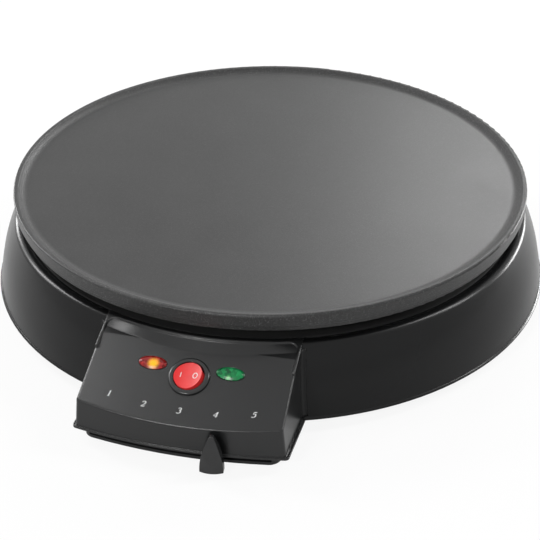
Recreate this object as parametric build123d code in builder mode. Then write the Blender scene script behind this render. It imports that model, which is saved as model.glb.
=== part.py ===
"""Electric crepe maker: a round cast hotplate carried on a flared plastic base with a wedge-shaped control housing.

Units are millimetres. The origin is on the hotplate's axis at table level, +Z is up and the controls face -Y.
"""

import os
from math import cos, radians, sin, sqrt, tan

from build123d import *

os.makedirs("parts", exist_ok=True)

# ---------------------------------------------------------------- driving dimensions
# Heights above the table
FOOT_HEIGHT = 3.0  # the rubber feet stand this far below the bottom cover
FLOOR_TOP = 4.8  # inside face of the bottom cover's floor
FOOT_EDGE = 7.0  # lower edge of the base housing
BASE_EDGE = 8.0  # lower edge of the control housing
FLANGE_TOP = 10.2  # the cover's outer flange, under the base housing's screw bosses
SHIELD_Z = 49.2  # underside of the heat shield
SHIELD_SHEET = 0.7
SHOULDER_TOP = 50.4  # top of the base housing
RING_BOTTOM = 57.5  # lower edge of the hotplate's inner ring
WALL_BOTTOM = 61.0  # lower edge of the hotplate's outer wall
PLATE_BELOW = 62.0  # underside of the hotplate
COOKING_TOP = 66.0  # cooking surface
RIM_TOP = 69.0

# Radii about the hotplate's axis
PLATE_R = 155.0
RIM_FOOT_R = 145.5  # the cooking surface starts to curve up into the rim here
BEAD_R = 167.2  # bead round the foot of the base housing
OPENING_R = 149.4  # mouth of the base housing
FLOOR_R = 150.0  # deep part of the bottom cover
FLANGE_R = 163.0
SHIELD_R = 148.2
ELEMENT_R = 100.0
PILLAR_R = 118.0
FOOT_R = 135.0
COVER_SCREW_R = 156.6
SHELL = 2.4  # wall of the plastic mouldings

# Control housing
PANEL_TILT = 25.5  # degrees, rising towards the hotplate
PANEL_EDGE_Y = -193.3  # top front edge, at its two corners
PANEL_EDGE_Z = 27.2
PANEL_HALF = 59.6  # half width at the base edge
SIDE_DRAFT = 4.9  # degrees, each side wall leans in
FRONT_R = 282.0  # radius of the bowed front wall in plan
BAND_FOOT_R = 269.0  # radius, in plan, of the foot of the band behind the panel
BAND_FOOT_Y = -159.2  # front of that foot, at the middle
CROWN_R = 152.0  # the band's top edge follows the hotplate at this radius
CROWN_TOP = 50.7
HOUSING_BACK_Y = -138.0

# Controls
PIVOT_Y = -45.0  # thermostat shaft
MARK_STEP = 7.75  # degrees of lever swing from one numeral to the next
LEVER_REST = MARK_STEP  # the lever rests at 4, one step right of the middle numeral
ARM_LOW, ARM_HIGH = 5.4, 7.5
KNOB_BACK, KNOB_FRONT = 159.8, 165.8  # reach of the knob's two faces from the shaft
KNOB_LOW, KNOB_TIP = 3.2, 25.0
KNOB_WIDTH = 13.0
KNOB_BOW_R = 14.0  # roundness of its front in plan
SWITCH_Y = -172.2
BEZEL_R = 11.5
BEZEL_HEIGHT = 1.5
ROCKER_R = 8.0
ROCKER_HOLE_R = 8.8
ROCKER_TILT = 8.0  # degrees each side of level
ROCKER_PIVOT_DEPTH = 0.6  # the rocker's pins, below the panel
PIN_R = 1.2
SWITCH_BARREL_R = 10.1
LAMP_X, LAMP_Y = 22.0, -167.2
LAMP_LENGTH, LAMP_WIDTH = 15.8, 7.9

SHAFT_R = 3.0
CORD_BORE_R = 3.5
CORD_Z = 22.0
RUNNING = 0.05  # radial clearance of a shaft in its bore
FIT_GAP = 0.1  # gap left between two fitted mouldings

# ---------------------------------------------------------------- derived places
SLOPE = tan(radians(PANEL_TILT))
PANEL_NORMAL = (0, -sin(radians(PANEL_TILT)), cos(radians(PANEL_TILT)))
FRONT_CENTRE_Y = PANEL_EDGE_Y + sqrt(FRONT_R**2 - PANEL_HALF**2)
FRONT_MID_Y = FRONT_CENTRE_Y - FRONT_R


def panel_z(y):
    """Height of the panel's top face at y."""
    return PANEL_EDGE_Z + (y - PANEL_EDGE_Y) * SLOPE


def panel_plane(x, y):
    """A work plane lying on the panel at (x, y): local X is the row's X, local Y runs up the slope."""
    return Plane(origin=(x, y, panel_z(y)), x_dir=(1, 0, 0), z_dir=PANEL_NORMAL)


def nearest(vertices, x, y):
    """The sketch corner nearest to (x, y)."""
    return vertices.sort_by_distance((x, y, 0))[0]


def polar(radius, angle):
    """Plan position at a radius and an angle in degrees from +X."""
    return (radius * cos(radians(angle)), radius * sin(radians(angle)))


def finish(builder, name):
    """Names a finished piece and writes it to its own file."""
    builder.part.label = name
    export_step(builder.part, f"parts/{name}.step")


# ---------------------------------------------------------------- hotplate
PILLAR_ANGLES = (30.0, 150.0, 270.0 - 38.0, 270.0 + 38.0)
BED_LOW = 59.2  # the element's bed stands down this far
ELEMENT_TUBE_R = 3.3
ELEMENT_Z = BED_LOW
CLAMP_ANGLES = (20.0, 160.0, 235.0, 305.0)
CLAMP_BOSS_OFFSET = 10.0
SMALL_BOSSES = [polar(ELEMENT_R - CLAMP_BOSS_OFFSET, a) for a in CLAMP_ANGLES] + [
    (-19.0, PIVOT_Y), (19.0, PIVOT_Y), (0.0, 82.0), (0.0, 41.0),
]

with BuildPart() as hotplate:
    with BuildSketch(Plane.XZ) as section:
        with BuildLine():
            curl = TangentArc((RIM_FOOT_R, COOKING_TOP), (152.4, RIM_TOP - 0.35), tangent=(1, 0))
            Polyline(
                curl @ 1,
                (PLATE_R, RIM_TOP),
                (PLATE_R - 0.5, WALL_BOTTOM),
                (153.2, WALL_BOTTOM),
                (152.9, RING_BOTTOM),
                (149.9, RING_BOTTOM),
                (149.6, PLATE_BELOW),
                (0, PLATE_BELOW),
                (0, COOKING_TOP),
                curl @ 0,
            )
        make_face()
        fillet(nearest(section.vertices(), PLATE_R, RIM_TOP), 1.1)
        fillet(nearest(section.vertices(), 152.4, RIM_TOP - 0.35), 1.2)
        fillet(nearest(section.vertices(), PLATE_R - 0.5, WALL_BOTTOM), 0.6)
        fillet(nearest(section.vertices(), 152.9, RING_BOTTOM), 0.9)
        fillet(nearest(section.vertices(), 149.6, PLATE_BELOW), 1.5)
    revolve(axis=Axis.Z)
    # ring-shaped bed that the heating element lies in
    with BuildSketch(Plane.XZ):
        with Locations((ELEMENT_R, (BED_LOW + PLATE_BELOW) / 2)):
            Rectangle(13, PLATE_BELOW - BED_LOW)
    revolve(axis=Axis.Z)
    with BuildSketch(Plane.XZ):
        with Locations((ELEMENT_R, ELEMENT_Z)):
            Circle(ELEMENT_TUBE_R + FIT_GAP)
    revolve(axis=Axis.Z, mode=Mode.SUBTRACT)
    # pillars, and bosses for the element clamps, the thermostat, the earth screw and the fuse clip
    with BuildSketch(Plane.XY.offset(SHIELD_Z + SHIELD_SHEET)):
        for angle in PILLAR_ANGLES:
            with Locations(polar(PILLAR_R, angle)):
                Circle(6)
    extrude(until=Until.NEXT)
    with BuildSketch(Plane.XY.offset(BED_LOW)):
        with Locations(*SMALL_BOSSES):
            Circle(4.5)
    extrude(until=Until.NEXT)
    # tapped holes
    with BuildSketch(Plane.XY.offset(SHIELD_Z)):
        for angle in PILLAR_ANGLES:
            with Locations(polar(PILLAR_R, angle)):
                Circle(2.05)
    extrude(amount=64.0 - SHIELD_Z, mode=Mode.SUBTRACT)
    with BuildSketch(Plane.XY.offset(BED_LOW)):
        with Locations(*SMALL_BOSSES):
            Circle(1.55)
    extrude(amount=64.0 - BED_LOW, mode=Mode.SUBTRACT)
finish(hotplate, "hotplate")

# ---------------------------------------------------------------- heating element, under the hotplate
ELEMENT_GAP = 13.0  # degrees each side of +Y where the tube ends turn down
LEG_LOW = 44.0
LEG_BEND = 8.0


with BuildPart() as heating_element:
    with BuildLine() as ring:
        CenterArc((0, 0), ELEMENT_R, 90 + ELEMENT_GAP, 360 - 2 * ELEMENT_GAP)
    with BuildSketch(Plane(origin=(ring.line @ 0) + Vector(0, 0, ELEMENT_Z), z_dir=ring.line % 0)):
        Circle(ELEMENT_TUBE_R)
    sweep(path=ring.line.moved(Location((0, 0, ELEMENT_Z))))
    for t, way in ((0, -1), (1, 1)):
        here = (ring.line @ t) + Vector(0, 0, ELEMENT_Z)
        along = (ring.line % t) * way
        knee = here + along * LEG_BEND
        with BuildLine() as leg:
            leg_line = FilletPolyline(
                here, knee, knee + Vector(0, 0, LEG_LOW - ELEMENT_Z), radius=LEG_BEND * 0.8
            )
        with BuildSketch(Plane(origin=here, z_dir=along)):
            Circle(ELEMENT_TUBE_R)
        sweep(path=leg_line)
finish(heating_element, "heating_element")
ELEMENT_LEGS = [
    (ring.line @ t) + (ring.line % t) * way * LEG_BEND for t, way in ((0, -1), (1, 1))
]

with BuildPart() as element_seals:
    with BuildSketch(Plane.XY.offset(LEG_LOW - 3)):
        with Locations(*[(p.X, p.Y) for p in ELEMENT_LEGS]):
            Circle(2.9)
    extrude(amount=3)
    with BuildSketch(Plane.XY.offset(LEG_LOW - 3)):
        with Locations(*[(p.X, p.Y) for p in ELEMENT_LEGS]):
            Circle(1.2)
    extrude(amount=3, mode=Mode.SUBTRACT)
finish(element_seals, "element_seals")

with BuildPart() as element_pins:
    with BuildSketch(Plane.XY.offset(LEG_LOW - 12)):
        with Locations(*[(p.X, p.Y) for p in ELEMENT_LEGS]):
            Circle(1.15)
    extrude(amount=12)
    with BuildSketch(Plane.XY.offset(LEG_LOW - 12)):
        with Locations(*[(p.X, p.Y) for p in ELEMENT_LEGS]):
            Rectangle(6.3, 0.9)
    extrude(amount=8)
finish(element_pins, "element_pins")

with BuildPart() as element_clamps:
    for angle in CLAMP_ANGLES:
        across = Plane(
            origin=(*polar(ELEMENT_R, angle), BED_LOW),
            x_dir=(*polar(1, angle), 0),
            z_dir=(sin(radians(angle)), -cos(radians(angle)), 0),
        )
        tube = ELEMENT_TUBE_R + FIT_GAP
        with BuildSketch(across):
            with BuildLine():
                Polyline((-16, 0), (-tube, 0))
                ThreePointArc((-tube, 0), (0, -tube), (tube, 0))
                Polyline((tube, 0), (8, 0), (8, -1.2), (tube + 1.2, -1.2))
                ThreePointArc((tube + 1.2, -1.2), (0, -tube - 1.4), (-tube - 1.2, -1.2))
                Polyline((-tube - 1.2, -1.2), (-16, -1.2), (-16, 0))
            make_face()
        extrude(amount=3.5, both=True)
    with BuildSketch(Plane.XY.offset(BED_LOW)):
        for angle in CLAMP_ANGLES:
            with Locations(polar(ELEMENT_R - CLAMP_BOSS_OFFSET, angle)):
                Circle(1.7)
    extrude(amount=-2, mode=Mode.SUBTRACT)
finish(element_clamps, "element_clamps")

with BuildPart() as clamp_screws:
    for angle in CLAMP_ANGLES:
        x, y = polar(ELEMENT_R - CLAMP_BOSS_OFFSET, angle)
        with BuildSketch(Plane.XY.offset(BED_LOW - 1.2)):
            with Locations((x, y)):
                Circle(1.5)
        extrude(amount=5.4)
        with BuildSketch(Plane.XY.offset(BED_LOW - 3.6)):
            with Locations((x, y)):
                Circle(3)
        extrude(amount=2.4)
finish(clamp_screws, "clamp_screws")

# ---------------------------------------------------------------- heat shield, a flanged sheet under the hotplate
THERMOSTAT_OPENING_R = 25.0

with BuildPart() as heat_shield:
    with BuildSketch(Plane.XZ):
        with BuildLine():
            Polyline(
                (0, SHIELD_Z),
                (SHIELD_R, SHIELD_Z),
                (SHIELD_R, SHOULDER_TOP - 0.2),
                (SHIELD_R - 0.9, SHOULDER_TOP - 0.2),
                (SHIELD_R - 0.9, SHIELD_Z + SHIELD_SHEET),
                (0, SHIELD_Z + SHIELD_SHEET),
                close=True,
            )
        make_face()
    revolve(axis=Axis.Z)
    with BuildSketch(Plane.XY.offset(SHIELD_Z)):
        with Locations((0, PIVOT_Y)):
            Circle(THERMOSTAT_OPENING_R)
        with Locations(*[(p.X, p.Y) for p in ELEMENT_LEGS], (0, 82)):
            Circle(6)
        for angle in PILLAR_ANGLES:
            with Locations(polar(PILLAR_R, angle)):
                Circle(2.3)
    extrude(amount=SHIELD_SHEET, mode=Mode.SUBTRACT)
finish(heat_shield, "heat_shield")

# ---------------------------------------------------------------- base housing
SHELF_R = 106.0  # the shelf that carries the heat shield and the hotplate starts here
SKIRT_PROFILE = ((155.9, 47.8), (159.5, 40.0), (162.7, 30.0), (164.8, 20.0), (166.0, 12.0), (166.3, 9.2))
COVER_SCREW_ANGLES = (0.0, 60.0, 120.0, 180.0, 222.0, 318.0)
GLAND_PAD_Y = 165.6
HOUSING_CUT_Y = HOUSING_BACK_Y + 0.2


def housing_sides(z, extra=0.0):
    """Half width of the control housing at height z."""
    return PANEL_HALF - (z - BASE_EDGE) * tan(radians(SIDE_DRAFT)) + extra


with BuildPart() as base_housing:
    with BuildSketch(Plane.XZ):
        with BuildLine():
            Polyline((OPENING_R, SHIELD_Z), (OPENING_R, SHOULDER_TOP - 0.9))
            ThreePointArc(
                (OPENING_R, SHOULDER_TOP - 0.9), (OPENING_R + 0.6, SHOULDER_TOP - 0.2),
                (OPENING_R + 1.6, SHOULDER_TOP),
            )
            Line((OPENING_R + 1.6, SHOULDER_TOP), (151.8, SHOULDER_TOP))
            ThreePointArc((151.8, SHOULDER_TOP), (154.2, 49.7), SKIRT_PROFILE[0])
            Spline(*SKIRT_PROFILE)
            Polyline(
                SKIRT_PROFILE[-1],
                (BEAD_R - 0.5, FOOT_EDGE + 1.9),
                (BEAD_R, FOOT_EDGE + 1.4),
                (BEAD_R, FOOT_EDGE + 0.7),
                (BEAD_R - 0.7, FOOT_EDGE),
                (SKIRT_PROFILE[-1][0] - SHELL, FOOT_EDGE),
                (SKIRT_PROFILE[-1][0] - SHELL, SKIRT_PROFILE[-1][1]),
            )
            Spline(*[(r - SHELL, z) for r, z in reversed(SKIRT_PROFILE)])
            Polyline(
                (SKIRT_PROFILE[0][0] - SHELL, SKIRT_PROFILE[0][1]),
                (SKIRT_PROFILE[0][0] - SHELL, SHIELD_Z - SHELL),
                (SHELF_R, SHIELD_Z - SHELL),
                (SHELF_R, SHIELD_Z),
                (OPENING_R, SHIELD_Z),
            )
        make_face()
    revolve(axis=Axis.Z)
    # screw bosses for the bottom cover
    with BuildSketch(Plane.XY.offset(FLANGE_TOP)):
        for angle in COVER_SCREW_ANGLES:
            with Locations(polar(COVER_SCREW_R, angle)):
                Circle(3.8)
    extrude(until=Until.NEXT)
    # flat pad behind the cord gland
    with BuildSketch(Plane.XZ.offset(-GLAND_PAD_Y)):
        with Locations((0, CORD_Z)):
            Circle(11)
    extrude(until=Until.NEXT)
    with BuildSketch(Plane.XZ.offset(-GLAND_PAD_Y)):
        with Locations((0, CORD_Z)):
            Circle(10.2)
    extrude(amount=-5, mode=Mode.SUBTRACT)
    with BuildSketch(Plane.XZ.offset(-GLAND_PAD_Y)):
        with Locations((0, CORD_Z)):
            Circle(6.6)
    extrude(amount=20, mode=Mode.SUBTRACT)
    # front of the skirt, left open for the control housing
    with BuildSketch(Plane.XZ.offset(-HOUSING_CUT_Y)):
        with BuildLine():
            Polyline(
                (-housing_sides(0, FIT_GAP), 0),
                (housing_sides(0, FIT_GAP), 0),
                (housing_sides(60, FIT_GAP), 60),
                (-housing_sides(60, FIT_GAP), 60),
                close=True,
            )
        make_face()
    extrude(amount=40, mode=Mode.SUBTRACT)
    # screw holes
    with BuildSketch(Plane.XY.offset(FLANGE_TOP)):
        for angle in COVER_SCREW_ANGLES:
            with Locations(polar(COVER_SCREW_R, angle)):
                Circle(1.55)
    extrude(amount=12, mode=Mode.SUBTRACT)
    with BuildSketch(Plane.XY.offset(SHIELD_Z)):
        for angle in PILLAR_ANGLES:
            with Locations(polar(PILLAR_R, angle)):
                Circle(2.3)
    extrude(amount=-SHELL, mode=Mode.SUBTRACT)
finish(base_housing, "base_housing")

# ---------------------------------------------------------------- control housing
LAMP_HALF_LENGTH, LAMP_HALF_WIDTH = LAMP_LENGTH / 2, LAMP_WIDTH / 2
COVER_POSTS = ((-49.7, -180.0), (49.7, -180.0))
BAND_BASE = 42.5  # the band's ruled face is drawn from this height up to CROWN_TOP
BAND_DEPTH = 0.7  # the band is sunk this far below its rim
BAND_HALF = 54.8
RIM_WIDTH = 0.9
KNEE_Y = -154.2  # behind this line the housing's top climbs more gently than the panel
KNEE_SLOPE = 0.27
LIP_SIDE, LIP_FRONT = 1.5, 0.8  # the lip round the housing's foot stands out this far
LIP_HEIGHT = 1.3
LIP_BACK_Y = -156.6


def walls(inset, top, back):
    """The control housing's drafted side walls and bowed front, moved in by inset, filled up to a flat top."""
    with BuildPart() as form:
        with BuildSketch(Plane.XZ.offset(-back)):
            with BuildLine():
                Polyline(
                    (-housing_sides(BASE_EDGE) + inset, BASE_EDGE),
                    (housing_sides(BASE_EDGE) - inset, BASE_EDGE),
                    (housing_sides(top) - inset, top),
                    (-housing_sides(top) + inset, top),
                    close=True,
                )
            make_face()
        extrude(amount=80)
        with BuildSketch():
            with Locations((0, FRONT_CENTRE_Y)):
                Circle(FRONT_R - inset)
        extrude(amount=60, mode=Mode.INTERSECT)
    return form.part


def foot_y(x):
    """Where the foot of the band crosses the panel, in plan."""
    return BAND_FOOT_Y + BAND_FOOT_R - sqrt(BAND_FOOT_R**2 - x**2)


def crown_y(x):
    """The band's top edge in plan, an arc about the hotplate's axis."""
    return -sqrt(CROWN_R**2 - x**2)


def base_y(x):
    """The band's straight generator at x, from its top edge through its foot, carried on down to BAND_BASE."""
    run = (crown_y(x) - foot_y(x)) / (CROWN_TOP - panel_z(foot_y(x)))
    return crown_y(x) - run * (CROWN_TOP - BAND_BASE)


def band_body(half, drop, back):
    """The body behind the band's face, half wide each way and drop lower than the rim."""
    stations = [half * k / 5 for k in range(-5, 6)]
    with BuildPart() as form:
        with BuildSketch(Plane.XY.offset(BAND_BASE - drop)):
            with BuildLine():
                lower = Spline(*[(x, base_y(x)) for x in stations])
                Polyline(lower @ 1, (half, back), (-half, back), lower @ 0)
            make_face()
        with BuildSketch(Plane.XY.offset(CROWN_TOP - drop)):
            with BuildLine():
                upper = ThreePointArc((-half, crown_y(half)), (0, crown_y(0)), (half, crown_y(half)))
                Polyline(upper @ 1, (half, back), (-half, back), upper @ 0)
            make_face()
        loft(ruled=True)
    return form.part


# rim that frames the sunken band, along its top and round its ends
with BuildPart() as band_rim:
    add(band_body(64.0, 0, HOUSING_BACK_Y + 1))
    with BuildSketch(Plane.XY.offset(BAND_BASE - 5)) as window:
        corner_y = -sqrt((CROWN_R + RIM_WIDTH) ** 2 - BAND_HALF**2)
        with BuildLine():
            edge = ThreePointArc((-BAND_HALF, corner_y), (0, -CROWN_R - RIM_WIDTH), (BAND_HALF, corner_y))
            Polyline(edge @ 1, (BAND_HALF, -175), (-BAND_HALF, -175), edge @ 0)
        make_face()
        fillet([nearest(window.vertices(), side * BAND_HALF, corner_y) for side in (-1, 1)], 4.5)
    extrude(amount=20, mode=Mode.SUBTRACT)

# the hollow inside, a wall's thickness in from every outer face
with BuildPart() as hollow:
    add(walls(SHELL, SHIELD_Z - SHELL, HOUSING_BACK_Y + 1))
    ceiling = SHELL / cos(radians(PANEL_TILT))
    with BuildSketch(Plane.YZ):
        with BuildLine():
            Polyline(
                (-215, panel_z(-215) - ceiling),
                (-120, panel_z(-120) - ceiling),
                (-120, -10),
                (-215, -10),
                close=True,
            )
        make_face()
    extrude(amount=80, both=True, mode=Mode.INTERSECT)

with BuildPart() as control_housing:
    # panel, then the gentler slope behind it
    with BuildSketch(Plane.YZ):
        with BuildLine():
            Polyline(
                (-215, panel_z(-215)),
                (KNEE_Y, panel_z(KNEE_Y)),
                (-130, panel_z(KNEE_Y) + (-130 - KNEE_Y) * KNEE_SLOPE),
                (-130, -10),
                (-215, -10),
                close=True,
            )
        make_face()
    extrude(amount=80, both=True)
    add(band_body(62.0, BAND_DEPTH, HOUSING_BACK_Y - 0.5))
    add(band_rim.part)
    add(walls(0, CROWN_TOP + 2, HOUSING_BACK_Y), mode=Mode.INTERSECT)
    # rounded corners and panel edges
    fillet(
        control_housing.edges().filter_by(
            lambda e: abs(e.center().X) > 50 and e.center().Y < -190 and 13 < e.center().Z < 21
        ),
        2.0,
    )
    panel_face = control_housing.faces().sort_by_distance((0, -180, panel_z(-180)))[0]
    fillet(panel_face.edges().filter_by(lambda e: e.center().Y < -165), 1.2)
    # lip round the foot
    with BuildSketch(Plane.XY.offset(BASE_EDGE)) as lip:
        with Locations((0, FRONT_CENTRE_Y)):
            Circle(FRONT_R + LIP_FRONT)
        with Locations((0, LIP_BACK_Y - 30)):
            Rectangle(2 * (PANEL_HALF + LIP_SIDE), 60, mode=Mode.INTERSECT)
        fillet([nearest(lip.vertices(), side * PANEL_HALF, -215) for side in (-1, 1)], 2.5)
    extrude(amount=LIP_HEIGHT)
    # mouth over the heat shield, level with the base housing's shelf
    with BuildSketch(Plane.XY.offset(SHIELD_Z)):
        Circle(OPENING_R)
    extrude(amount=5, mode=Mode.SUBTRACT)
    # hollow inside
    add(hollow.part, mode=Mode.SUBTRACT)
    # screw posts standing on the bottom cover
    with BuildSketch(Plane.XY.offset(FLOOR_TOP)):
        with Locations(*COVER_POSTS):
            Circle(3.6)
    extrude(until=Until.NEXT)
    with BuildSketch(Plane.XY.offset(FLOOR_TOP)):
        with Locations(*COVER_POSTS):
            Circle(1.55)
    extrude(amount=12, mode=Mode.SUBTRACT)
    # openings for the switch and the two lamps
    with BuildSketch(panel_plane(0, SWITCH_Y)):
        Circle(SWITCH_BARREL_R + FIT_GAP)
    extrude(amount=6, both=True, mode=Mode.SUBTRACT)
    for x in (-LAMP_X, LAMP_X):
        with BuildSketch(panel_plane(x, LAMP_Y)):
            Ellipse(LAMP_HALF_LENGTH + FIT_GAP, LAMP_HALF_WIDTH + FIT_GAP)
        extrude(amount=6, both=True, mode=Mode.SUBTRACT)
finish(control_housing, "control_housing")

# ---------------------------------------------------------------- bottom cover
TONGUE_HALF = 55.4
COVER_WALL = 1.8
SLOT_HALF = 51.5
COVER_LIP = 7.7
FOOT_ANGLES = (45.0, 135.0, 225.0, 315.0)
VENT_ANGLES = tuple(30.0 * k for k in range(12))


def tongue(inset, bottom):
    """The part of the bottom cover under the control housing, its walls moved in by inset."""
    half = TONGUE_HALF - inset
    corner_y = FRONT_MID_Y + 7.0 + inset
    with BuildPart() as form:
        with BuildSketch(Plane.XY.offset(bottom)) as plan:
            with BuildLine():
                ThreePointArc((-half, corner_y), (0, FRONT_MID_Y + 1.4 + inset), (half, corner_y))
                Polyline((half, corner_y), (half, inset - 120), (-half, inset - 120), (-half, corner_y))
            make_face()
            fillet([nearest(plan.vertices(), side * half, corner_y) for side in (-1, 1)], 7.0 - inset)
        extrude(amount=COVER_LIP - bottom)
    return form.part


with BuildPart() as bottom_cover:
    # round pan with its raised flange under the base housing
    with BuildSketch(Plane.XZ) as section:
        with BuildLine():
            Polyline(
                (0, FOOT_HEIGHT),
                (FLOOR_R, FOOT_HEIGHT),
                (FLOOR_R, FLANGE_TOP - COVER_WALL),
                (FLANGE_R, FLANGE_TOP - COVER_WALL),
                (FLANGE_R, FLANGE_TOP),
                (FLOOR_R - COVER_WALL, FLANGE_TOP),
                (FLOOR_R - COVER_WALL, FLOOR_TOP),
                (0, FLOOR_TOP),
                close=True,
            )
        make_face()
        fillet(nearest(section.vertices(), FLOOR_R, FOOT_HEIGHT), 1.5)
    revolve(axis=Axis.Z)
    with BuildSketch(Plane.XY.offset(COVER_LIP)):
        with Locations((0, -170)):
            Rectangle(2 * PANEL_HALF + 1, 80)
    extrude(amount=5, mode=Mode.SUBTRACT)
    # tongue, with the slot that the lever sweeps along
    add(tongue(0, FOOT_HEIGHT))
    add(tongue(COVER_WALL, FLOOR_TOP), mode=Mode.SUBTRACT)
    with BuildSketch(Plane.XY.offset(FLOOR_TOP)):
        with Locations((0, FRONT_MID_Y)):
            Rectangle(2 * SLOT_HALF, 34)
    extrude(amount=5, mode=Mode.SUBTRACT)
    # cord saddle posts and the terminal block's seat
    with BuildSketch(Plane.XY.offset(FLOOR_TOP)):
        with Locations((-12, 140), (12, 140)):
            Circle(3.6)
        with Locations((0, 140)):
            Rectangle(24, 3)
    extrude(amount=CORD_Z - CORD_BORE_R - FLOOR_TOP)
    with BuildSketch(Plane.XY.offset(FLOOR_TOP)):
        with Locations((-12, 140), (12, 140)):
            Circle(3.6)
    extrude(amount=CORD_Z + 2.4 - FLOOR_TOP)
    with BuildSketch(Plane.XY.offset(FLOOR_TOP)):
        with Locations((-12, 140), (12, 140)):
            Circle(1.2)
    extrude(amount=CORD_Z + 2.4 - FLOOR_TOP, mode=Mode.SUBTRACT)
    # screw holes, foot holes and vents
    with BuildSketch(Plane.XY.offset(FOOT_HEIGHT)):
        for angle in COVER_SCREW_ANGLES:
            with Locations(polar(COVER_SCREW_R, angle)):
                Circle(1.8)
        with Locations(*COVER_POSTS):
            Circle(1.8)
        for angle in FOOT_ANGLES:
            with Locations(polar(FOOT_R, angle)):
                Circle(3.1)
        for angle in VENT_ANGLES:
            with PolarLocations(72, 1, start_angle=angle):
                SlotOverall(26, 4)
    extrude(amount=FLANGE_TOP - FOOT_HEIGHT, mode=Mode.SUBTRACT)
finish(bottom_cover, "bottom_cover")

with BuildPart() as cover_screws:
    for x, y, seat in [(*polar(COVER_SCREW_R, a), FLANGE_TOP - COVER_WALL) for a in COVER_SCREW_ANGLES]:
        with BuildSketch(Plane.XY.offset(seat)):
            with Locations((x, y)):
                Circle(1.5)
        extrude(amount=12)
        with BuildSketch(Plane.XY.offset(seat - 2.2)):
            with Locations((x, y)):
                Circle(3)
        extrude(amount=2.2)
        with BuildSketch(Plane.XY.offset(seat - 2.2)):
            with Locations((x, y)):
                Rectangle(3.6, 0.9)
                Rectangle(0.9, 3.6)
        extrude(amount=1.1, mode=Mode.SUBTRACT)
    for x, y in COVER_POSTS:
        with BuildSketch(Plane.XY.offset(FOOT_HEIGHT)):
            with Locations((x, y)):
                Circle(1.5)
        extrude(amount=13)
        with BuildSketch(Plane.XY.offset(FOOT_HEIGHT - 2.0)):
            with Locations((x, y)):
                Circle(3)
        extrude(amount=2.0)
        with BuildSketch(Plane.XY.offset(FOOT_HEIGHT - 2.0)):
            with Locations((x, y)):
                Rectangle(3.6, 0.9)
                Rectangle(0.9, 3.6)
        extrude(amount=1.0, mode=Mode.SUBTRACT)
finish(cover_screws, "cover_screws")

with BuildPart() as rubber_feet:
    for angle in FOOT_ANGLES:
        x, y = polar(FOOT_R, angle)
        with BuildSketch(Plane.XY):
            with Locations((x, y)):
                Circle(9)
        extrude(amount=FOOT_HEIGHT)
        with BuildSketch(Plane.XY.offset(FOOT_HEIGHT)):
            with Locations((x, y)):
                Circle(3.0)
        extrude(amount=FLOOR_TOP - FOOT_HEIGHT)
        with BuildSketch(Plane.XY.offset(FLOOR_TOP)):
            with Locations((x, y)):
                Circle(4.4)
        extrude(amount=1.6, taper=30)
    fillet(rubber_feet.faces().sort_by(Axis.Z)[:4].edges(), 0.8)
finish(rubber_feet, "rubber_feet")

# ---------------------------------------------------------------- thermostat
BRACKET_TOP = BED_LOW
THERMOSTAT_R = 13.0

with BuildPart() as thermostat_bracket:
    with BuildSketch(Plane.XY.offset(BRACKET_TOP)):
        with Locations((0, PIVOT_Y)):
            SlotOverall(48, 13)
            with Locations((-19, 0), (19, 0)):
                Circle(1.7, mode=Mode.SUBTRACT)
    extrude(amount=-1.2)
finish(thermostat_bracket, "thermostat_bracket")

with BuildPart() as thermostat_body:
    with BuildSketch(Plane.XY.offset(BRACKET_TOP - 1.2)):
        with Locations((0, PIVOT_Y)):
            Circle(THERMOSTAT_R)
    extrude(amount=-6)
    with BuildSketch(Plane.XY.offset(BRACKET_TOP - 7.2)):
        with Locations((0, PIVOT_Y)):
            Circle(THERMOSTAT_R - 1.8)
    extrude(amount=-5.8)
finish(thermostat_body, "thermostat_body")

with BuildPart() as thermostat_terminals:
    with BuildSketch(Plane.XY.offset(BRACKET_TOP - 9.6)):
        with Locations((-5.5, PIVOT_Y + 15.3), (5.5, PIVOT_Y + 15.3)):
            Rectangle(6.3, 9)
        with Locations((0, PIVOT_Y)):
            Circle(THERMOSTAT_R - 1.7, mode=Mode.SUBTRACT)
    extrude(amount=-0.8)
finish(thermostat_terminals, "thermostat_terminals")

BUSHING_TOP = BRACKET_TOP - 13.0

with BuildPart() as thermostat_bushing:
    with BuildSketch(Plane.XY.offset(BUSHING_TOP)):
        with Locations((0, PIVOT_Y)):
            Circle(7)
    extrude(amount=-2)
    with BuildSketch(Plane.XY.offset(BUSHING_TOP - 2)):
        with Locations((0, PIVOT_Y)):
            Circle(4.6)
    extrude(amount=-9)
    with BuildSketch(Plane.XY.offset(BUSHING_TOP - 11)):
        with Locations((0, PIVOT_Y)):
            Circle(SHAFT_R + RUNNING)
    extrude(amount=10.5, mode=Mode.SUBTRACT)
finish(thermostat_bushing, "thermostat_bushing")

with BuildPart() as thermostat_screws:
    for x in (-19, 19):
        with BuildSketch(Plane.XY.offset(BRACKET_TOP - 1.2)):
            with Locations((x, PIVOT_Y)):
                Circle(1.5)
        extrude(amount=5.4)
        with BuildSketch(Plane.XY.offset(BRACKET_TOP - 3.4)):
            with Locations((x, PIVOT_Y)):
                Circle(3)
        extrude(amount=2.2)
finish(thermostat_screws, "thermostat_screws")

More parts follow.
